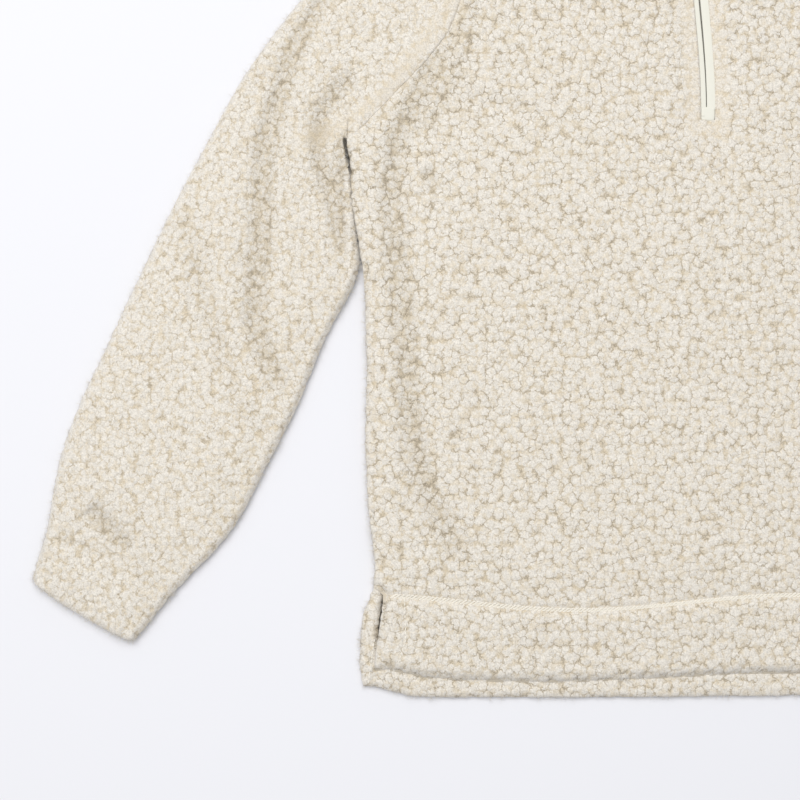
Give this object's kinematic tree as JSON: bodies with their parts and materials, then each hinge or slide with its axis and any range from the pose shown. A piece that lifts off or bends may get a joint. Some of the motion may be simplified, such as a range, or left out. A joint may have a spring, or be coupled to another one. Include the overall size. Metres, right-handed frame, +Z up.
{
  "type": "sherpa fleece pullover laid flat",
  "caption": "Half-zip pullover of curly sherpa fleece, laid flat: set-in sleeves, short cuffs, stand-up collar, turned-up hem with side vents and a hinged zip pull",
  "frame": {"origin": "middle of the laid-out garment's outline, on the surface it lies on", "axes": "+X to the wearer's left, across the garment; +Y from hem to collar; +Z up, out of the front"},
  "size_m": [1.078, 0.7528, 0.0165],
  "materials": {
    "fleece": "cream sherpa fleece, curly cut pile in small curls",
    "zip_tape": "smooth cream woven polyester zip tape",
    "zip_metal": "cast zinc, satin cream enamel"
  },
  "bodies": {
    "garment": {"back_panel": "fleece", "front_panel": "fleece", "sleeve_right": "fleece", "sleeve_left": "fleece", "cuff_right": "fleece", "cuff_left": "fleece", "collar": "fleece", "zip_tape_right": "zip_tape", "zip_tape_left": "zip_tape", "zip_end_tab": "zip_tape", "zip_slider": "zip_metal"},
    "pull": {"zip_pull": "zip_metal"}
  },
  "joints": [
    {"name": "pull_hinge", "type": "hinge", "parent": "garment", "child": "pull", "pos_m": [-0.01, 0.2886, 0.0142], "axis": [-1, 0, 0], "range_deg": [0, 165]}
  ]
}
